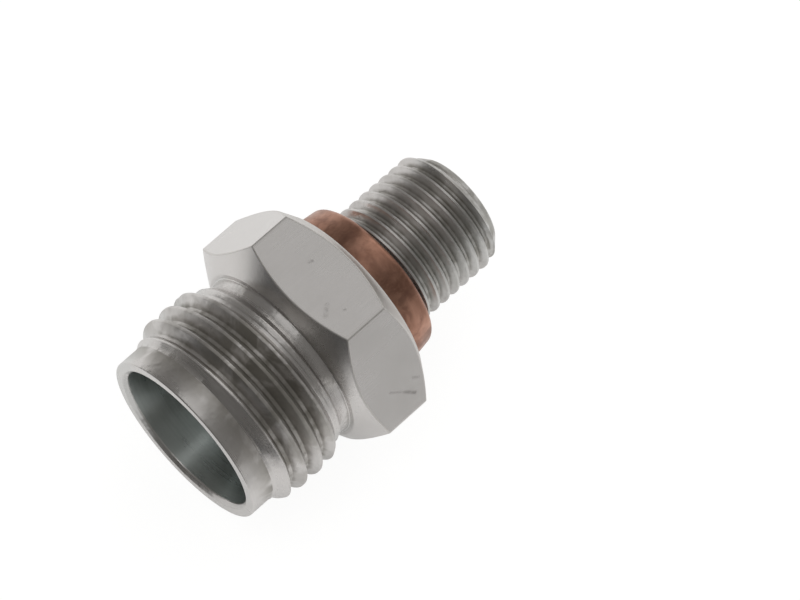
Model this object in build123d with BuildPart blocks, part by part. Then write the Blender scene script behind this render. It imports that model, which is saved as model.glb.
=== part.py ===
"""Straight hydraulic adapter with a union-nut end, a hexagon and a port stud, and its copper sealing washer.

Units are millimetres. The origin lies on the axis, in the hexagon's sealing face. +X points out of
the port stud's tip, and the hexagon has one flat on top (+Z) and one below, which it rests on.
"""
import os
from math import ceil, radians, tan

from build123d import *

os.makedirs("parts", exist_ok=True)

# Hexagon, a little off the turned axis towards +Y
across_flats = 17.0
hex_thickness = 6.5
hex_offset = 0.14
hex_back_face_diameter = 14.8
hex_back_chamfer_angle = 32.5
hex_front_face_diameter = 15.4
hex_front_chamfer_angle = 35.5

# Union-nut end: plain collar, lead-in, thread, run-out and relief
union_end_length = 9.62
collar_diameter = 14.2
collar_length = 1.92
collar_edge = 0.12
union_thread_diameter = 16.0
union_thread_pitch = 1.5
union_thread_start = 0.24
union_relief_diameter = 14.0
union_relief_width = 0.95
union_run_out_angle = 32.0

# Tube mouth: bevelled edge, 24 degree cone, socket and shoulder
mouth_diameter = 12.25
mouth_edge = 0.25
mouth_cone_angle = 24.0
socket_diameter = 10.1
socket_depth = 7.17
flow_bore_diameter = 5.0
flow_bore_edge = 0.3

# Port stud: relief beside the hexagon, thread and bevelled tip
stud_length = 11.35
stud_thread_diameter = 9.88
stud_thread_pitch = 1.0
stud_thread_start = 0.82
stud_relief_diameter = 8.6
stud_relief_width = 2.4
stud_tip_diameter = 7.8
stud_tip_length = 1.1

# Both threads: flank angle, then depth and root width as shares of the pitch
thread_flank_angle = 60.0
thread_depth_share = 0.5413
thread_root_share = 0.2
lead_in_angle = 33.0
cutter_overreach_share = 0.08

# Crushed copper washer
washer_ring_width = 1.365
washer_thickness = 2.8
washer_edge = 0.5
washer_clearance = 0.12

# Places along the axis
hex_back_x = -hex_thickness
mouth_x = hex_back_x - union_end_length
tip_x = stud_length


def groove_turn(diameter, pitch):
    """One turn of a right-hand thread's groove, whose middle starts at the top of the part, at x = 0."""
    depth = thread_depth_share * pitch
    reach = depth + cutter_overreach_share * pitch
    root_half = thread_root_share * pitch / 2
    rim_half = root_half + reach * tan(radians(thread_flank_angle / 2))
    with BuildPart() as turn:
        with BuildLine():
            helix = Helix(pitch, pitch, diameter / 2 - depth, direction=(1, 0, 0))
        with BuildSketch(Plane(origin=helix @ 0, x_dir=(1, 0, 0), z_dir=helix % 0)):
            Polygon((-root_half, 0), (root_half, 0), (rim_half, reach), (-rim_half, reach), align=None)
        sweep(path=helix, is_frenet=True)
    return turn.part


def groove_places(pitch, from_x, to_x):
    """Where each turn of the groove starts, from from_x until the turns have passed to_x."""
    return [(from_x + turn * pitch, 0, 0) for turn in range(ceil((to_x - from_x) / pitch))]


# Union-nut shank: the groove is cut first, then the lead-in and the run-out trim the thread's ends
collar_end_x = mouth_x + collar_length
lead_in_length = (union_thread_diameter - collar_diameter) / 2 / tan(radians(lead_in_angle))
union_relief_x = hex_back_x - union_relief_width
run_out_length = (union_thread_diameter - union_relief_diameter) / 2 / tan(radians(union_run_out_angle))
union_groove_turn = groove_turn(union_thread_diameter, union_thread_pitch)

with BuildPart() as union_shank:
    with BuildSketch(Plane.YZ.offset(collar_end_x)):
        Circle(union_thread_diameter / 2)
    extrude(amount=hex_back_x + 2 * union_thread_pitch - collar_end_x)
    with Locations(groove_places(union_thread_pitch, mouth_x + union_thread_start, hex_back_x)):
        add(union_groove_turn, mode=Mode.SUBTRACT)
    with BuildSketch(Plane.XZ):
        with BuildLine():
            Polyline(
                (collar_end_x, 0),
                (collar_end_x, collar_diameter / 2),
                (collar_end_x + lead_in_length, union_thread_diameter / 2),
                (union_relief_x - run_out_length, union_thread_diameter / 2),
                (union_relief_x, union_relief_diameter / 2),
                (hex_back_x, union_relief_diameter / 2),
                (hex_back_x, 0),
                close=True,
            )
        make_face()
    revolve(axis=Axis.X, mode=Mode.INTERSECT)

# Port stud: cut the same way, with its relief under the washer and a bevel at the tip
stud_groove_turn = groove_turn(stud_thread_diameter, stud_thread_pitch)

with BuildPart() as port_stud:
    with BuildSketch(Plane.YZ.offset(-stud_thread_pitch)):
        Circle(stud_thread_diameter / 2)
    extrude(amount=tip_x + stud_thread_pitch)
    with Locations(groove_places(stud_thread_pitch, stud_thread_start, tip_x + stud_thread_pitch)):
        add(stud_groove_turn, mode=Mode.SUBTRACT)
    with BuildSketch(Plane.XZ):
        with BuildLine():
            Polyline(
                (0, 0),
                (0, stud_relief_diameter / 2),
                (stud_relief_width, stud_relief_diameter / 2),
                (stud_relief_width, stud_thread_diameter / 2),
                (tip_x - stud_tip_length, stud_thread_diameter / 2),
                (tip_x, stud_tip_diameter / 2),
                (tip_x, 0),
                close=True,
            )
        make_face()
    revolve(axis=Axis.X, mode=Mode.INTERSECT)

# Hexagon: chamfered to a round face at both ends. The chamfers are centred on the turned axis
farthest_corner = across_flats / 3**0.5 + hex_offset
back_chamfer_depth = (farthest_corner - hex_back_face_diameter / 2) * tan(radians(hex_back_chamfer_angle))
front_chamfer_depth = (farthest_corner - hex_front_face_diameter / 2) * tan(radians(hex_front_chamfer_angle))

with BuildPart() as hexagon:
    with BuildSketch(Plane.YZ.offset(hex_back_x)):
        with Locations((hex_offset, 0)):
            RegularPolygon(across_flats / 2, 6, major_radius=False)
    extrude(amount=hex_thickness)
    with BuildSketch(Plane.XZ):
        with BuildLine():
            Polyline(
                (hex_back_x, 0),
                (hex_back_x, hex_back_face_diameter / 2),
                (hex_back_x + back_chamfer_depth, farthest_corner),
                (-front_chamfer_depth, farthest_corner),
                (0, hex_front_face_diameter / 2),
                (0, 0),
                close=True,
            )
        make_face()
    revolve(axis=Axis.X, mode=Mode.INTERSECT)

# Adapter body: collar, shank, hexagon and stud are one turned piece, bored from both ends
mouth_cone_depth = (mouth_diameter - socket_diameter) / 2 / tan(radians(mouth_cone_angle / 2))

with BuildPart() as adapter_body:
    with BuildSketch(Plane.YZ.offset(mouth_x)):
        Circle(collar_diameter / 2)
    extrude(amount=collar_length)
    chamfer(adapter_body.faces().sort_by(Axis.X)[0].edges(), length=collar_edge)
    add(union_shank.part)
    add(hexagon.part)
    add(port_stud.part)
    with BuildSketch(Plane.XZ):
        with BuildLine():
            Polyline(
                (mouth_x, 0),
                (mouth_x, mouth_diameter / 2 + mouth_edge),
                (mouth_x + mouth_edge, mouth_diameter / 2),
                (mouth_x + mouth_edge + mouth_cone_depth, socket_diameter / 2),
                (mouth_x + socket_depth, socket_diameter / 2),
                (mouth_x + socket_depth, flow_bore_diameter / 2),
                (tip_x - flow_bore_edge, flow_bore_diameter / 2),
                (tip_x, flow_bore_diameter / 2 + flow_bore_edge),
                (tip_x, 0),
                close=True,
            )
        make_face()
    revolve(axis=Axis.X, mode=Mode.SUBTRACT)

adapter_body.part.label = "adapter_body"
export_step(adapter_body.part, "parts/adapter_body.step")

# Copper washer: flat faces and bevelled outer edges, loose over the stud's thread
washer_hole_radius = stud_thread_diameter / 2 + washer_clearance

with BuildPart() as copper_washer:
    with BuildSketch(Plane.YZ):
        Circle(washer_hole_radius + washer_ring_width)
        Circle(washer_hole_radius, mode=Mode.SUBTRACT)
    extrude(amount=washer_thickness)
    rims = copper_washer.edges().filter_by(GeomType.CIRCLE).group_by(SortBy.RADIUS)[-1]
    chamfer(rims, length=washer_edge)

copper_washer.part.label = "copper_washer"
export_step(copper_washer.part, "parts/copper_washer.step")
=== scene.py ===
import math

import bmesh
import bpy
import numpy as np
from mathutils import Matrix


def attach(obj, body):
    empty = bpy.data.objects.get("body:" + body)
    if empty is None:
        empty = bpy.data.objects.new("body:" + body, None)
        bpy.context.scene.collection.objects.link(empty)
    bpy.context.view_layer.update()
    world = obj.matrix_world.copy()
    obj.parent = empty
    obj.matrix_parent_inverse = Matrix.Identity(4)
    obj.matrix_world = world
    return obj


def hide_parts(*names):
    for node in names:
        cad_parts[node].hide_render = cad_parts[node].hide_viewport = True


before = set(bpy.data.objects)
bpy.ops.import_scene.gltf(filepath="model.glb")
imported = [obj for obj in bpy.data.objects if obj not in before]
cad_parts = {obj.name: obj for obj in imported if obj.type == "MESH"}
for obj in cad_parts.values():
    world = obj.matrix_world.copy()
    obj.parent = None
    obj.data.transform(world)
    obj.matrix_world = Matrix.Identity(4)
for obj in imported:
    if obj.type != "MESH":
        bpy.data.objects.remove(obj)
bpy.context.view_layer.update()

# Shapes are worked out in millimetres, as in the CAD model, and turned into metres last
MM = 0.001

# Union end: places along the axis, radii, the thread's pitch and start, and two angles in degrees
MOUTH_X = -16.12
COLLAR_END_X = -14.2
CONE_END_X = -10.813
SOCKET_END_X = -8.95
UNION_RELIEF_X = -7.45
BACK_X = -6.5
COLLAR_R = 7.1
UNION_R = 7.99
UNION_RELIEF_R = 7.0
MOUTH_R = 6.125
MOUTH_EDGE = 0.25
SOCKET_R = 5.05
BORE_R = 2.5
BACK_JOINT_R = UNION_RELIEF_R + 0.15
UNION_PITCH = 1.5
UNION_START = -15.88
LEAD_IN = 33
RUN_OUT = 32

# Hexagon: a little off the turned axis towards +Y
FLAT_R = 8.5
HEX_OFFSET = 0.14
BACK_FACE_R = 7.4
FRONT_FACE_R = 7.7
BACK_CHAMFER = 32.5
FRONT_CHAMFER = 35.5
CORNER_BLUR = 0.035

# Port stud
TIP_X = 11.35
STUD_R = 4.94
STUD_PITCH = 1.0
STUD_START = 0.82
STUD_RELIEF_R = 4.3
STUD_RELIEF_X = 2.4
FRONT_JOINT_R = STUD_RELIEF_R + 0.2
STUD_RUN_IN = 60
STUD_TIP_R = 3.9
STUD_BEVEL_X = 10.25
TIP_ROW_X = TIP_X - 0.2
BORE_EDGE = 0.3

# Threads: depth and half widths of the groove as shares of the pitch, the crests' unevenness in
# millimetres, and the share of the depth over which a cut groove fades
THREAD_DEPTH = 0.5413
ROOT_HALF = 0.1
RIM_HALF = 0.4125
CREST_UNEVEN = 0.010
GROOVE_FADE = 0.35

# Copper washer, crushed: its rim bulges between a lower inner and outer edge
WASHER_HOLE_R = 5.06
WASHER_R = 6.425
WASHER_T = 2.8
WASHER_GAP = 0.01
WASHER_UNEVEN = 0.035
FACE_UNEVEN = 0.02

# Points around the axis
UNION_COLUMNS = 300
STUD_COLUMNS = 220
WASHER_COLUMNS = 220

FLOOR_Z = -8.5
FLOOR_GAP = 0.002


def rounded(points, radius, steps=3, support=0.0):
    """The outline with each inner corner turned into a small arc. A radius may be given for each corner.

    With support, one more point on each side of an arc keeps the shading beside it flat.
    """
    points = [np.array(p, float) for p in points]
    radii = radius if isinstance(radius, (list, tuple)) else [radius] * (len(points) - 2)
    out = [points[0]]
    for before, corner, after, r in zip(points, points[1:], points[2:], radii):
        back = before - corner
        ahead = after - corner
        reach_back = np.linalg.norm(back)
        reach_ahead = np.linalg.norm(ahead)
        cosine = np.clip(np.dot(back, ahead) / (reach_back * reach_ahead), -1, 1)
        half = math.acos(cosine) / 2
        t = min(r / math.tan(half), 0.45 * reach_back, 0.45 * reach_ahead)
        start = corner + back / reach_back * t
        end = corner + ahead / reach_ahead * t
        if support:
            out.append(corner + back / reach_back * min(t * (1 + support), 0.48 * reach_back))
        for k in range(steps + 1):
            u = k / steps
            out.append((1 - u) ** 2 * start + 2 * u * (1 - u) * corner + u * u * end)
        if support:
            out.append(corner + ahead / reach_ahead * min(t * (1 + support), 0.48 * reach_ahead))
    out.append(points[-1])
    return np.array(out)


def waves(x, angle, seed):
    """Smooth repeatable unevenness between about -1 and 1, by place along and around the axis."""
    rng = np.random.default_rng(seed)
    total = np.zeros(np.broadcast(x, angle).shape)
    for _ in range(9):
        total += np.sin(rng.uniform(0.6, 4.0) * x + rng.integers(1, 9) * angle + rng.uniform(0, 6.28))
    return total / 4.5


def even_turns(columns):
    """Angles in radians of evenly spaced columns, from the top towards -Y."""
    return np.arange(columns) * 2 * math.pi / columns


def outward(degrees):
    """The direction in Y and Z that points away from the axis, turned from the top towards -Y."""
    return np.array([-math.sin(math.radians(degrees)), math.cos(math.radians(degrees))])


def degrees_apart(a, b):
    """The shortest turn from b to a, between -180 and 180."""
    return (a - b + 180) % 360 - 180


def skin(shape, offset=0):
    """Faces over a closed grid of rows and columns. The last column meets the first one offset rows on."""
    count, columns = shape
    faces = []
    for j in range(columns):
        k = (j + 1) % columns
        shift = offset if k == 0 else 0
        for i in range(count - 1):
            if i + 1 + shift < count:
                low = (i * columns + j, (i + shift) * columns + k)
                high = ((i + 1 + shift) * columns + k, (i + 1) * columns + j)
                faces.append(low + high)
    return faces


def grid_points(x, r, turn):
    """Points at distance x along the axis, r from it, and turn from the top towards -Y."""
    x, r, turn = np.broadcast_arrays(x, r, turn)
    return np.stack([x, -r * np.sin(turn), r * np.cos(turn)], -1) * MM


def piece(name, shells):
    """One mesh from several grids of points, welded where they meet, with smooth shading.

    A shell is its points, its faces and its surface: how much groove, edge and thread each point has.
    """
    vertices = []
    faces = []
    values = {"groove": [], "edge": [], "thread": []}
    for points, faces_of, surface in shells:
        base = len(vertices)
        vertices.extend(map(tuple, points.reshape(-1, 3)))
        for layer_name, numbers in values.items():
            numbers.extend(np.broadcast_to(surface.get(layer_name, 0.0), points.shape[:2]).reshape(-1))
        faces.extend(tuple(base + v for v in f) for f in faces_of)
    mesh = bpy.data.meshes.new(name)
    mesh.from_pydata(vertices, [], faces)
    for layer_name, numbers in values.items():
        layer = mesh.attributes.new(layer_name, "FLOAT", "POINT")
        layer.data.foreach_set("value", np.array(numbers, np.float32))
    bm = bmesh.new()
    bm.from_mesh(mesh)
    bmesh.ops.remove_doubles(bm, verts=bm.verts, dist=2e-7)
    bmesh.ops.dissolve_degenerate(bm, edges=bm.edges, dist=1e-7)
    for f in bm.faces:
        f.smooth = True
    bm.to_mesh(mesh)
    bm.free()
    obj = bpy.data.objects.new(name, mesh)
    bpy.context.scene.collection.objects.link(obj)
    return obj


def lathe(outline, columns, surface=None):
    """A turned shell: the outline's points, as x and radius, carried once around the axis."""
    points = grid_points(outline[:, 0][:, None], outline[:, 1][:, None], even_turns(columns)[None, :])
    return points, skin(points.shape[:2]), surface or {}


def soft_min(a, b, k=0.03):
    """The lower of two values, blended where they are about k apart."""
    low = np.minimum(a, b)
    return low - k * np.log(np.exp(-(a - low) / k) + np.exp(-(b - low) / k))


def screw(columns, radius, pitch, start, from_x, to_x, envelope, crest_round, root_round, seed, grime,
          cut_grime=0.0, dents=()):
    """A right-hand thread between two planes. Its rows follow the helix, so crests and roots stay clean.

    A dent is its place along the axis, its turn in degrees, its half width along each, and its depth.
    """
    depth = THREAD_DEPTH * pitch
    root_r = radius - depth
    outline = [
        (-pitch / 2, radius),
        (-RIM_HALF * pitch, radius),
        (-ROOT_HALF * pitch, root_r),
        (ROOT_HALF * pitch, root_r),
        (RIM_HALF * pitch, radius),
        (pitch / 2, radius),
    ]
    profile = rounded(outline, [crest_round, root_round, root_round, crest_round], steps=3)[:-1]
    first = math.floor((from_x - start) / pitch) - 1
    turns = math.ceil((to_x - from_x) / pitch) + 3
    base = np.concatenate([profile[:, 0] + start + (first + k) * pitch for k in range(turns)])
    turn = even_turns(columns)
    x = np.clip(base[:, None] + pitch * turn[None, :] / (2 * math.pi), from_x, to_x)
    phase = (x - start - pitch * turn[None, :] / (2 * math.pi) + pitch / 2) % pitch - pitch / 2
    periodic = np.vstack([profile, [pitch / 2, radius]])
    r = np.interp(phase, periodic[:, 0], periodic[:, 1])
    groove = (radius - r) / depth
    r = r + CREST_UNEVEN * waves(x * 1.7, turn[None, :], seed) * (1 - groove)
    for dent_x, dent_turn, wide_x, wide_turn, deep in dents:
        along = (x - dent_x) / wide_x
        around = (turn[None, :] - math.radians(dent_turn)) / math.radians(wide_turn)
        r = r - deep * np.exp(-(along ** 2 + around ** 2))
    limit = envelope(x)
    points = grid_points(x, soft_min(r, limit), turn[None, :])
    # Where the envelope cuts the crests away, the groove fades and the cut surface has its own grime
    fade = np.clip((limit - radius + GROOVE_FADE * depth) / (GROOVE_FADE * depth), 0, 1)
    surface = {"groove": groove * fade, "thread": grime * fade + cut_grime * (1 - fade)}
    return points, skin(points.shape[:2], offset=len(profile)), surface


# Union end: shoulder, socket, cone, mouth and collar in one outline, then the thread and its relief
union_inside = rounded(
    [
        (SOCKET_END_X + 0.004, BORE_R + BORE_EDGE - 0.02),
        (SOCKET_END_X, SOCKET_R),
        (CONE_END_X, SOCKET_R),
        (MOUTH_X + MOUTH_EDGE, MOUTH_R),
        (MOUTH_X, MOUTH_R + MOUTH_EDGE),
        (MOUTH_X, COLLAR_R),
        (COLLAR_END_X - 0.08, COLLAR_R),
    ],
    [0.25, 0.3, 0.2, 0.12, 0.13], steps=5, support=1.0)
union_inside = np.vstack([union_inside, [COLLAR_END_X, COLLAR_R]])
collar_grime = np.zeros((len(union_inside), 1))
collar_grime[-2:] = 0.8


def union_envelope(x):
    """The turned limit of the union thread: it rises from the collar and falls to the relief."""
    lead_in = COLLAR_R + (x - COLLAR_END_X) * math.tan(math.radians(LEAD_IN))
    run_out = UNION_RELIEF_R + (UNION_RELIEF_X - x) * math.tan(math.radians(RUN_OUT))
    return soft_min(lead_in, run_out, 0.02)


# Painted shade: the thread's grime patches are heaviest on the side turned a little from the top towards
# -Y. The thread has one small dent
UNION_SHADED_TURN = 18
UNION_SHADED_WIDTH = 48
UNION_DENT = (-9.5, 287, 0.3, 2.5, 0.14)
union_turns = np.degrees(even_turns(UNION_COLUMNS))
union_away = degrees_apart(union_turns, UNION_SHADED_TURN) / UNION_SHADED_WIDTH
union_grime_and_shade = 0.35 + 0.65 * np.exp(-union_away ** 2)[None, :]
union_thread = screw(UNION_COLUMNS, UNION_R, UNION_PITCH, UNION_START, COLLAR_END_X, UNION_RELIEF_X,
                     union_envelope, crest_round=0.13, root_round=0.12, seed=11, grime=union_grime_and_shade,
                     dents=[UNION_DENT])
union_relief = rounded(
    [(UNION_RELIEF_X, UNION_RELIEF_R), (BACK_X, UNION_RELIEF_R), (BACK_X, BACK_JOINT_R)], 0.14, steps=4)
# The relief is painted dark only in its corner against the hexagon, as painted shade. An edge value below
# zero makes it smoother than the thread
relief_surface = {"groove": 0.7 * np.linspace(0, 1, len(union_relief))[:, None] ** 6, "edge": -0.3}
union_end = piece("union_end", [
    lathe(union_inside, UNION_COLUMNS, {"thread": collar_grime}),
    union_thread,
    lathe(union_relief, UNION_COLUMNS, relief_surface),
])

# Hexagon: each column of the grid follows the chamfers and the flats at its own angle from the turned axis
hex_middle = np.array([HEX_OFFSET, 0.0])


def hexagon_radius(turn):
    """Distance from the turned axis to the hexagon: one flat on top and slightly rounded corners."""
    direction = outward(math.degrees(turn))
    reach = []
    for side in range(6):
        normal = outward(60 * side)
        if direction @ normal > 0.3:
            reach.append((FLAT_R + hex_middle @ normal) / (direction @ normal))
    nearest = min(reach)
    return nearest - CORNER_BLUR * math.log(sum(math.exp((nearest - r) / CORNER_BLUR) for r in reach))


corner_turns = []
for corner in range(6):
    y, z = hex_middle + FLAT_R / math.cos(math.radians(30)) * outward(30 + 60 * corner)
    corner_turns.append(math.degrees(math.atan2(-y, z)) % 360)

# Columns stand close together at the corners and wider apart on the flats
CORNER_STEPS = np.array([0, 0.1, 0.2, 0.3, 0.42, 0.56, 0.72, 0.92, 1.2, 1.6, 2.2])
FLAT_STEPS = 28
hex_turns = []
for corner, here in enumerate(corner_turns):
    ahead = (corner_turns[(corner + 1) % 6] - here) % 360
    hex_turns.extend(here + CORNER_STEPS)
    hex_turns.extend(here + np.linspace(CORNER_STEPS[-1], ahead - CORNER_STEPS[-1], FLAT_STEPS)[1:-1])
    hex_turns.extend(here + ahead - CORNER_STEPS[:0:-1])
hex_turns = np.radians(np.array(sorted(t % 360 for t in hex_turns)))
hex_columns = []
for turn in hex_turns:
    rim = hexagon_radius(turn)
    back_rise = (rim - BACK_FACE_R) * math.tan(math.radians(BACK_CHAMFER))
    front_rise = (rim - FRONT_FACE_R) * math.tan(math.radians(FRONT_CHAMFER))
    hex_columns.append(rounded(
        [
            (BACK_X, BACK_JOINT_R),
            (BACK_X, BACK_FACE_R),
            (BACK_X + back_rise, rim),
            (-front_rise, rim),
            (0, FRONT_FACE_R),
            (0, FRONT_JOINT_R),
        ],
        [0.12, 0.12, 0.14, 0.10], steps=5, support=1.0))
hex_columns = np.array(hex_columns).transpose(1, 0, 2)
hex_rows = hex_columns.shape[0]


def arc_rows(corner):
    """The rows of a corner's arc. Each corner has 6 of them between two supporting rows."""
    first = 2 + 8 * corner
    return slice(first, first + 6)


# Pale, dull edges where the chamfers meet the flats, most around the sealing face, and on the rim's six
# corners: wear with a painted highlight
back_arc = arc_rows(1)
front_arc = arc_rows(2)
face_arc = arc_rows(3)
row_edge = np.zeros(hex_rows)
row_edge[back_arc] = 0.7
row_edge[front_arc] = 0.65
row_edge[front_arc.stop] = 0.55
row_edge[face_arc.start - 1:face_arc.stop] = 1.0
on_rim = np.zeros(hex_rows)
on_rim[back_arc.start + 1:front_arc.stop - 1] = 1
CORNER_WEAR_AND_HIGHLIGHT_WIDTH = 0.75
to_each_corner = degrees_apart(np.degrees(hex_turns)[:, None], np.array(corner_turns)[None, :])
from_corner = np.abs(to_each_corner).min(axis=1)
corner_edge = np.exp(-(from_corner / CORNER_WEAR_AND_HIGHLIGHT_WIDTH) ** 2)
hex_edge = np.maximum(row_edge[:, None], 0.74 * corner_edge[None, :] * on_rim[:, None])

# Painted shade: dark from the union relief up the back face to its edge, most on one side
JOINT_SHADE = (1.0, 1.0, 0.98, 0.95, 0.92, 0.88, 0.84, 0.8, 0.76)
HEX_SHADED_TURN = 28
HEX_SHADED_WIDTH = 34
joint_shade = np.zeros(hex_rows)
joint_shade[:len(JOINT_SHADE)] = JOINT_SHADE
shaded_side = np.exp(-(degrees_apart(np.degrees(hex_turns), HEX_SHADED_TURN) / HEX_SHADED_WIDTH) ** 2)
hexagon_surface = {"groove": joint_shade[:, None] * (0.3 + 0.7 * shaded_side[None, :]), "edge": hex_edge}
hex_points = grid_points(hex_columns[:, :, 0], hex_columns[:, :, 1], hex_turns[None, :])
hexagon = piece("hexagon", [(hex_points, skin(hex_points.shape[:2]), hexagon_surface)])


def stud_envelope(x):
    """The turned limit of the stud's thread: it rises from the relief and falls along the tip's bevel."""
    run_in = STUD_RELIEF_R + (x - STUD_RELIEF_X) * math.tan(math.radians(STUD_RUN_IN))
    bevel = STUD_TIP_R + (TIP_X - x) * (STUD_R - STUD_TIP_R) / (TIP_X - STUD_BEVEL_X)
    return soft_min(run_in, bevel, 0.02)


# Port stud: relief, thread, bevelled tip and the bore through the whole fitting
stud_relief = rounded(
    [(0, FRONT_JOINT_R), (0, STUD_RELIEF_R), (STUD_RELIEF_X, STUD_RELIEF_R)], 0.09, steps=4)
stud_thread = screw(STUD_COLUMNS, STUD_R, STUD_PITCH, STUD_START, STUD_RELIEF_X, TIP_ROW_X,
                    stud_envelope, crest_round=0.09, root_round=0.09, seed=23, grime=0.25, cut_grime=0.8)
stud_end = rounded(
    [
        (TIP_ROW_X, float(stud_envelope(np.array(TIP_ROW_X)))),
        (TIP_X, STUD_TIP_R - 0.02),
        (TIP_X, BORE_R + BORE_EDGE),
        (TIP_X - BORE_EDGE, BORE_R),
        (SOCKET_END_X, BORE_R),
        (SOCKET_END_X, BORE_R + BORE_EDGE),
    ],
    [0.25, 0.08, 0.1, 0.12], steps=4, support=1.0)
port_stud = piece("port_stud", [
    lathe(stud_relief, STUD_COLUMNS),
    stud_thread,
    lathe(stud_end, STUD_COLUMNS, {"thread": 0.5}),
])

# Copper washer: the outline is closed in the middle of its hole
washer_outline = rounded(
    [
        (WASHER_T / 2, WASHER_HOLE_R),
        (WASHER_GAP, WASHER_HOLE_R),
        (WASHER_GAP, WASHER_R - 0.14),
        (WASHER_T * 0.45, WASHER_R),
        (WASHER_T - WASHER_GAP, WASHER_R - 0.22),
        (WASHER_T - WASHER_GAP, WASHER_HOLE_R),
        (WASHER_T / 2, WASHER_HOLE_R),
    ],
    [0.15, 0.42, 2.0, 0.55, 0.15], steps=7)
washer_turn = even_turns(WASHER_COLUMNS)
washer_x = np.repeat(washer_outline[:, 0][:, None], WASHER_COLUMNS, 1)
washer_r = np.repeat(washer_outline[:, 1][:, None], WASHER_COLUMNS, 1)
# The rim's unevenness grows from 0.5 to 1.3 mm outside the hole, and the free face has a little of it
rim_share = np.clip((washer_r - WASHER_HOLE_R - 0.5) / 0.8, 0, 1)
rim_waves = waves(washer_x * 0.8, washer_turn[None, :], 5)
washer_r = washer_r + rim_share * WASHER_UNEVEN * (rim_waves - 1)
free_face = np.clip((washer_x - 2.2) / 0.5, 0, 1)
washer_x = washer_x + FACE_UNEVEN * free_face * (waves(washer_r, washer_turn[None, :], 6) - 1)
washer_points = grid_points(washer_x, washer_r, washer_turn[None, :])
washer = piece("copper_washer_crushed", [(washer_points, skin(washer_points.shape[:2]), {})])

body_pieces = (union_end, hexagon, port_stud)
for made in body_pieces:
    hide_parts("adapter_body")
    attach(made, "root")
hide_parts("copper_washer")
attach(washer, "root")


class Nodes:
    """Short calls to build a node tree."""

    def __init__(self, tree):
        self.tree = tree
        tree.nodes.clear()

    def add(self, kind, **settings):
        node = self.tree.nodes.new(kind)
        for key, value in settings.items():
            setattr(node, key, value)
        return node

    def link(self, source, target):
        self.tree.links.new(source, target)

    def feed(self, target, value):
        """Links a node's output to the socket, or writes a plain value on it."""
        if hasattr(value, "is_output"):
            self.link(value, target)
        else:
            target.default_value = value

    def span(self, value, low, high, to_low=0.0, to_high=1.0, smooth=False):
        """The value mapped from one range to another, and held at its ends."""
        node = self.add("ShaderNodeMapRange")
        node.interpolation_type = "SMOOTHSTEP" if smooth else "LINEAR"
        self.feed(node.inputs["Value"], value)
        node.inputs["From Min"].default_value = low
        node.inputs["From Max"].default_value = high
        node.inputs["To Min"].default_value = to_low
        node.inputs["To Max"].default_value = to_high
        return node.outputs["Result"]

    def math(self, operation, a, b=0.0, c=0.0):
        node = self.add("ShaderNodeMath", operation=operation)
        for slot, value in zip(node.inputs, (a, b, c)):
            self.feed(slot, value)
        return node.outputs["Value"]

    def times(self, a, b):
        return self.math("MULTIPLY", a, b)

    def plus(self, a, b):
        return self.math("ADD", a, b)

    def higher(self, a, b):
        return self.math("MAXIMUM", a, b)

    def mix(self, share, a, b):
        """The first colour where the share is 0, the second where it is 1."""
        node = self.add("ShaderNodeMix", data_type="RGBA")
        self.feed(node.inputs["Factor"], share)
        self.feed(node.inputs["A"], a)
        self.feed(node.inputs["B"], b)
        return node.outputs["Result"]


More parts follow.
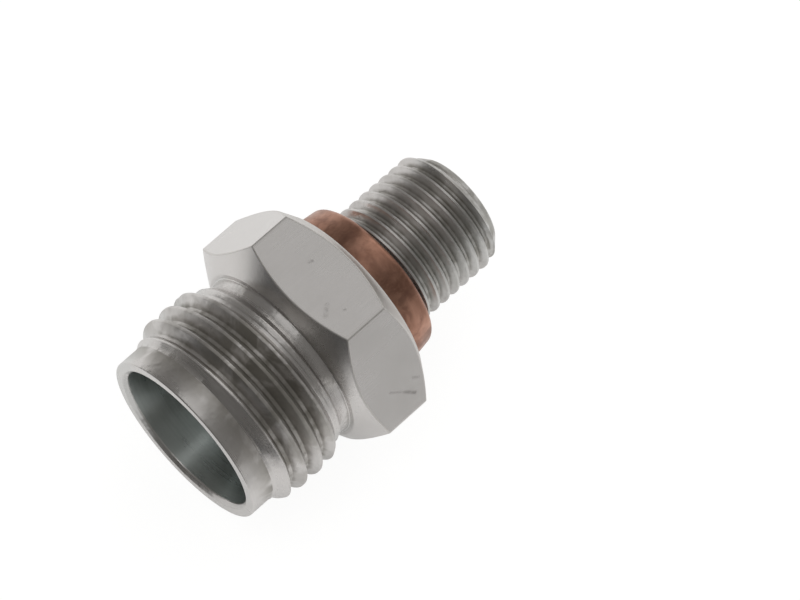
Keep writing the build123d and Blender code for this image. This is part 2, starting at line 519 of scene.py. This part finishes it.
class MaterialNodes(Nodes):
    """A material's node tree, with places in metres in the object's own frame."""

    def __init__(self, name):
        self.material = bpy.data.materials.new(name)
        self.material.use_nodes = True
        super().__init__(self.material.node_tree)
        self.output = self.add("ShaderNodeOutputMaterial")
        self.place = self.add("ShaderNodeTexCoord").outputs["Object"]

    def attribute(self, name):
        return self.add("ShaderNodeAttribute", attribute_name=name).outputs["Fac"]

    def noise(self, scale, detail=2.0, rough=0.5, distort=0.0):
        """Noise with a scale per metre, or one for each axis: 1000 gives features about 1 mm wide."""
        stretch = self.add("ShaderNodeMapping")
        self.link(self.place, stretch.inputs["Vector"])
        stretch.inputs["Scale"].default_value = scale if isinstance(scale, tuple) else (scale, scale, scale)
        node = self.add("ShaderNodeTexNoise")
        self.link(stretch.outputs["Vector"], node.inputs["Vector"])
        node.inputs["Scale"].default_value = 1.0
        node.inputs["Detail"].default_value = detail
        node.inputs["Roughness"].default_value = rough
        node.inputs["Distortion"].default_value = distort
        return node.outputs["Fac"]

    def bump(self, height, strength, distance, under=None):
        node = self.add("ShaderNodeBump")
        self.link(height, node.inputs["Height"])
        node.inputs["Strength"].default_value = strength
        node.inputs["Distance"].default_value = distance
        if under is not None:
            self.link(under, node.inputs["Normal"])
        return node.outputs["Normal"]

    def near_line(self, a, b, width):
        """1 close to the line between two points in millimetres, falling to 0 at the given width."""
        a = np.array(a)
        along = np.array(b) - a
        length = float(np.linalg.norm(along))
        offset = self.add("ShaderNodeVectorMath", operation="SUBTRACT")
        self.link(self.place, offset.inputs[0])
        offset.inputs[1].default_value = a * MM
        dot = self.add("ShaderNodeVectorMath", operation="DOT_PRODUCT")
        self.link(offset.outputs["Vector"], dot.inputs[0])
        dot.inputs[1].default_value = along / length
        reach = self.add("ShaderNodeClamp")
        self.link(dot.outputs["Value"], reach.inputs["Value"])
        reach.inputs["Min"].default_value = 0
        reach.inputs["Max"].default_value = length * MM
        point = self.add("ShaderNodeVectorMath", operation="SCALE")
        point.inputs[0].default_value = along / length
        self.link(reach.outputs["Result"], point.inputs["Scale"])
        gap = self.add("ShaderNodeVectorMath", operation="DISTANCE")
        self.link(offset.outputs["Vector"], gap.inputs[0])
        self.link(point.outputs["Vector"], gap.inputs[1])
        return self.span(gap.outputs["Value"], 0, width * MM, 1, 0, smooth=True)

    def metal(self, colour, rough, normal, metallic=1.0):
        """Ends the material with a metal surface."""
        shader = self.add("ShaderNodeBsdfPrincipled")
        self.link(shader.outputs["BSDF"], self.output.inputs["Surface"])
        self.link(colour, shader.inputs["Base Color"])
        self.link(rough, shader.inputs["Roughness"])
        self.link(normal, shader.inputs["Normal"])
        self.feed(shader.inputs["Metallic"], metallic)
        return self.material


# Places in millimetres of the handling marks on the two near flats
SCRATCH_START = (-3.76, -8.21, 2.79)
SCRATCH_MIDDLE = (-2.68, -8.67, 1.99)
SCRATCH_END = (-1.95, -9.04, 1.33)
SMUDGE = ((-1.62, -8.40, 2.45), (-1.20, -8.56, 2.17))
SMEAR = ((-4.9, -2.4, 8.5), (-4.2, -1.85, 8.5))
PIT_HIGH = ((-2.85, 1.4, 8.5), (-2.6, 1.3, 8.5))
PIT_LOW = ((-3.65, -2.9, 8.5), (-3.5, -2.95, 8.5))


def zinc(name, turned):
    """Bright zinc plate. The turned parts carry fine rings, the hexagon faint streaks along the bar."""
    n = MaterialNodes(name)
    cloud = n.noise(260, detail=4, rough=0.6)
    wide = n.noise(90, detail=2)
    blotch = n.noise(1000, detail=2, rough=0.5)
    fine = n.noise(4200, detail=2, rough=0.6)
    rings = n.noise((9000, 160, 160) if turned else (220, 5200, 5200), detail=3, rough=0.7)
    ring_share = 0.4 if turned else 0.15
    cloudy = n.times(n.span(cloud, 0.3, 0.7), 1 - ring_share)
    ringed = n.times(n.span(rings, 0.3, 0.7), ring_share)
    colour = n.mix(n.plus(cloudy, ringed), (0.575, 0.557, 0.543, 1), (0.650, 0.631, 0.620, 1))
    if turned:
        greenish = n.times(n.span(wide, 0.45, 0.62, smooth=True), 0.5)
        colour = n.mix(greenish, colour, (0.575, 0.592, 0.580, 1))

    # Dark colour lies in the grooves, at the union's joint with the hexagon, over its back face and in
    # patches over
    # the threads: dirt together with painted shade. Edges are painted pale and dull: wear together with
    # painted highlight
    groove = n.attribute("groove")
    edge = n.attribute("edge")
    thread = n.attribute("thread")
    patches = n.noise(420, detail=3, rough=0.55, distort=0.5)
    grime = n.times(n.span(patches, 0.40, 0.58, 0.04, 0.66, smooth=True), thread)
    groove = n.times(n.span(groove, 0.35, 0.95, smooth=True), n.math("MULTIPLY_ADD", thread, 0.2, 0.8))
    dirt_and_shade = n.higher(n.times(groove, n.span(blotch, 0.35, 0.65, 0.25, 0.75)), grime)
    # Dirt and painted shade darken the colour, then wear and a painted highlight make the edges pale
    colour = n.mix(dirt_and_shade, colour, (0.215, 0.200, 0.165, 1))
    colour = n.mix(n.times(edge, 0.5), colour, (0.72, 0.70, 0.67, 1))
    if turned:
        rough = n.span(cloud, 0.3, 0.7, 0.24, 0.33)
        normal = n.bump(rings, 0.13, 0.000012)
        normal = n.bump(blotch, 1.0, 0.00005, normal)
    else:
        rough = n.span(cloud, 0.3, 0.7, 0.20, 0.27)
        normal = n.bump(rings, 0.05, 0.000010)
        normal = n.bump(cloud, 1.0, 0.000012, normal)
    normal = n.bump(fine, 0.3 if turned else 0.12, 0.000004, normal)
    rough = n.plus(rough, n.span(rings, 0.3, 0.7, -0.03, 0.04))
    rough = n.plus(rough, n.times(dirt_and_shade, 0.2))
    rough = n.plus(rough, n.times(edge, 0.28))
    rough = n.plus(rough, n.times(thread, n.span(blotch, 0.38, 0.62, 0.02, 0.20)))

    if not turned:
        breakup = n.noise(3400, detail=3, rough=0.7)
        scratch = n.higher(n.times(n.near_line(SCRATCH_START, SCRATCH_MIDDLE, 0.20), 0.95),
                           n.near_line(SCRATCH_MIDDLE, SCRATCH_END, 0.26))
        smudge = n.near_line(*SMUDGE, 0.26)
        smear = n.near_line(*SMEAR, 0.28)
        pits = n.higher(n.near_line(*PIT_HIGH, 0.18), n.near_line(*PIT_LOW, 0.14))
        faint = n.higher(n.times(smudge, 0.5), n.higher(n.times(smear, 0.22), n.times(pits, 0.32)))
        faint = n.times(faint, n.span(breakup, 0.38, 0.58, 0.25, 1.0, smooth=True))
        strong = n.times(scratch, n.span(breakup, 0.32, 0.55, 0.45, 0.85, smooth=True))
        marks = n.higher(faint, strong)
        colour = n.mix(marks, colour, (0.12, 0.105, 0.10, 1))
        rough = n.plus(rough, n.times(marks, 0.3))
        normal = n.bump(n.math("SUBTRACT", 1.0, scratch), 0.5, 0.00003, normal)
    # The palest edges lose their metallic look, so they stay pale from every side: a painted highlight
    return n.metal(colour, rough, normal, n.span(edge, 0.72, 1.0, 1.0, 0.2))


def copper():
    """Dull copper, tarnished brown in patches, with faint turning rings."""
    n = MaterialNodes("washer_copper")
    cloud = n.noise(330, detail=5, rough=0.65, distort=0.6)
    spots = n.noise(520, detail=3, rough=0.55, distort=0.8)
    rings = n.noise((5200, 240, 240), detail=2, rough=0.6)
    tone = n.span(cloud, 0.34, 0.66, smooth=True)
    colour = n.mix(tone, (0.28, 0.142, 0.098, 1), (0.50, 0.276, 0.200, 1))
    tarnish = n.times(n.span(spots, 0.48, 0.64, smooth=True), 0.5)
    colour = n.mix(tarnish, colour, (0.205, 0.106, 0.077, 1))
    rough = n.plus(n.span(cloud, 0.3, 0.7, 0.38, 0.30), n.span(spots, 0.3, 0.7, -0.03, 0.07))
    normal = n.bump(cloud, 0.35, 0.00006)
    normal = n.bump(spots, 0.3, 0.00003, normal)
    normal = n.bump(rings, 0.2, 0.000012, normal)
    return n.metal(colour, rough, normal)


def shaded_bore_zinc():
    """Zinc inside the bores: painted darker, as painted shade, and slightly green, with coarse turning
    rings.
    """
    n = MaterialNodes("shaded_bore_zinc")
    cloud = n.noise(300, detail=4, rough=0.6)
    rings = n.noise((5200, 120, 120), detail=3, rough=0.7)
    tone = n.plus(n.times(n.span(cloud, 0.3, 0.7), 0.6), n.times(n.span(rings, 0.3, 0.7), 0.4))
    colour = n.mix(tone, (0.31, 0.337, 0.328, 1), (0.46, 0.492, 0.481, 1))
    rough = n.plus(n.span(cloud, 0.3, 0.7, 0.26, 0.34), n.span(rings, 0.3, 0.7, -0.03, 0.05))
    normal = n.bump(rings, 0.2, 0.000012, n.bump(cloud, 0.1, 0.00002))
    return n.metal(colour, rough, normal)


zinc_turned = zinc("zinc_turned", True)
zinc_bar = zinc("zinc_bar", False)
zinc_bore_shaded = shaded_bore_zinc()
copper_material = copper()


def dress(obj, outer, inner=None, is_inner=None):
    """Gives a piece its material, and another one to the faces that the test picks by their middle."""
    obj.data.materials.append(outer)
    if inner is not None:
        obj.data.materials.append(inner)
        for f in obj.data.polygons:
            f.material_index = 1 if is_inner(f.center / MM) else 0


def radial(c):
    return math.hypot(c[1], c[2])


# The bores' walls get the bore's material, the bevels around their mouths the turned parts' one
dress(union_end, zinc_turned, zinc_bore_shaded, lambda c: radial(c) < MOUTH_R - 0.05 and c[0] > MOUTH_X + 0.1)
dress(hexagon, zinc_bar)
dress(port_stud, zinc_turned, zinc_bore_shaded, lambda c: radial(c) < BORE_R + 0.35 and c[0] < TIP_X - 0.25)
dress(washer, copper_material)
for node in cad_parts.values():
    node.data.materials.clear()
    node.data.materials.append(copper_material if node.name == "copper_washer" else zinc_turned)

# Floor: white to the camera by its own glow, with the object's soft shadow. In reflections it is brightest
# beside the object, and falls off beyond the mouth and beyond the tip, as a table does at its edges
bpy.ops.mesh.primitive_plane_add(size=6, location=(0, 0, (FLOOR_Z - FLOOR_GAP) * MM))
floor = bpy.context.object
floor.name = "floor"
n = MaterialNodes("floor_white")
place = n.add("ShaderNodeSeparateXYZ")
n.link(n.place, place.inputs["Vector"])
beyond_mouth = n.span(place.outputs["X"], -0.065, -0.022, 0.10, 0.92, smooth=True)
beyond_tip = n.span(place.outputs["X"], 0.030, 0.065, 1.0, 0.60, smooth=True)
table = n.times(beyond_mouth, beyond_tip)
# Seen in reflections, the paper on the -Y side is darker: a painted shadow of the object
side = n.span(place.outputs["Y"], -0.042, -0.020, 0.78, 1.0, smooth=True)
beside = n.times(n.span(place.outputs["Y"], -0.034, -0.018, 0.0, 0.20, smooth=True), table)
rays = n.add("ShaderNodeLightPath")
to_camera = rays.outputs["Is Camera Ray"]
to_gloss = rays.outputs["Is Glossy Ray"]
paper = n.add("ShaderNodeBsdfDiffuse")
unseen = n.mix(to_gloss, (0.80, 0.80, 0.795, 1), n.times(table, side))
n.link(n.mix(to_camera, unseen, (0.16, 0.16, 0.16, 1)), paper.inputs["Color"])
glow = n.add("ShaderNodeEmission")
glow.inputs["Color"].default_value = (1, 1, 0.997, 1)
n.link(n.plus(n.times(to_camera, 0.90), n.times(to_gloss, beside)), glow.inputs["Strength"])
both = n.add("ShaderNodeAddShader")
n.link(paper.outputs["BSDF"], both.inputs[0])
n.link(glow.outputs["Emission"], both.inputs[1])
n.link(both.outputs["Shader"], n.output.inputs["Surface"])
floor.data.materials.append(n.material)

# World: dull surfaces see an even pale room. The gloss of metal sees it pale near the horizon and dim
# above, as in a tent under a dark ceiling, and dimmer still beyond the mouth
world = bpy.data.worlds.new("studio")
bpy.context.scene.world = world
world.use_nodes = True
n = Nodes(world.node_tree)
direction = n.add("ShaderNodeSeparateXYZ")
n.link(n.add("ShaderNodeTexCoord").outputs["Generated"], direction.inputs["Vector"])
height = n.add("ShaderNodeValToRGB")
n.link(direction.outputs["Z"], height.inputs["Fac"])
ramp = height.color_ramp
ramp.elements[0].position = 0.0
ramp.elements[0].color = (0.80, 0.795, 0.78, 1)
ramp.elements[1].position = 1.0
ramp.elements[1].color = (0.21, 0.205, 0.195, 1)
for position, colour in (
    (0.07, (0.72, 0.71, 0.69, 1)),
    (0.18, (0.23, 0.222, 0.21, 1)),
    (0.6, (0.19, 0.185, 0.177, 1)),
):
    ramp.elements.new(position).color = colour
seen = n.mix(n.span(direction.outputs["X"], -0.75, -0.35), (0.12, 0.116, 0.11, 1), height.outputs["Color"])
rays = n.add("ShaderNodeLightPath")
seen = n.mix(rays.outputs["Is Glossy Ray"], (0.72, 0.715, 0.705, 1), seen)
seen = n.mix(rays.outputs["Is Camera Ray"], seen, (1, 1, 0.997, 1))
sky = n.add("ShaderNodeBackground")
n.link(seen, sky.inputs["Color"])
n.link(sky.outputs["Background"], n.add("ShaderNodeOutputWorld").inputs["Surface"])


def stand(right, up, back, spot):
    """The matrix of a lamp or camera at a spot in metres, which looks away from its back."""
    rows = [(right[k], up[k], back[k], spot[k]) for k in range(3)]
    return Matrix((*rows, (0, 0, 0, 1)))


def softbox(name, direction, distance, size, radiance, colour=(1, 1, 1)):
    """A softbox that looks at the object from one direction, with the stated brightness on its face."""
    back = np.array(direction, float)
    back /= np.linalg.norm(back)
    light = bpy.data.lights.new(name, "AREA")
    light.shape = "RECTANGLE"
    light.size, light.size_y = size
    light.energy = radiance * math.pi * size[0] * size[1]
    light.color = colour
    lamp = bpy.data.objects.new(name, light)
    bpy.context.scene.collection.objects.link(lamp)
    right = np.cross((1.0, 0, 0), back)
    right /= np.linalg.norm(right)
    lamp.matrix_world = stand(right, np.cross(back, right), back, back * distance)


# Distances and sizes in metres
softbox("overhead", (0.22, 0.14, 0.97), 0.42, (0.28, 0.26), 0.46)
softbox("glint", (-0.33, 0.05, 0.94), 0.42, (0.10, 0.06), 2.2)
softbox("stud_side", (0.80, 0.16, 0.58), 0.50, (0.36, 0.26), 0.9, (1.0, 0.985, 0.965))

# Camera at the photograph's angle
camera_data = bpy.data.cameras.new("camera")
camera_data.lens = 180.0
camera_data.sensor_width = 36.0
camera_data.clip_start = 0.01
camera = bpy.data.objects.new("camera", camera_data)
bpy.context.scene.collection.objects.link(camera)
CAMERA_RIGHT = (0.71126, -0.70072, 0.05573)
CAMERA_UP = (0.6273, 0.66851, 0.39948)
CAMERA_BACK = (-0.31718, -0.24918, 0.91505)
CAMERA_SPOT = np.array([-89.016, -74.829, 264.709]) * MM
camera.matrix_world = stand(CAMERA_RIGHT, CAMERA_UP, CAMERA_BACK, CAMERA_SPOT)
bpy.context.scene.camera = camera
bpy.context.scene.view_settings.view_transform = "Standard"

bpy.context.view_layer.update()
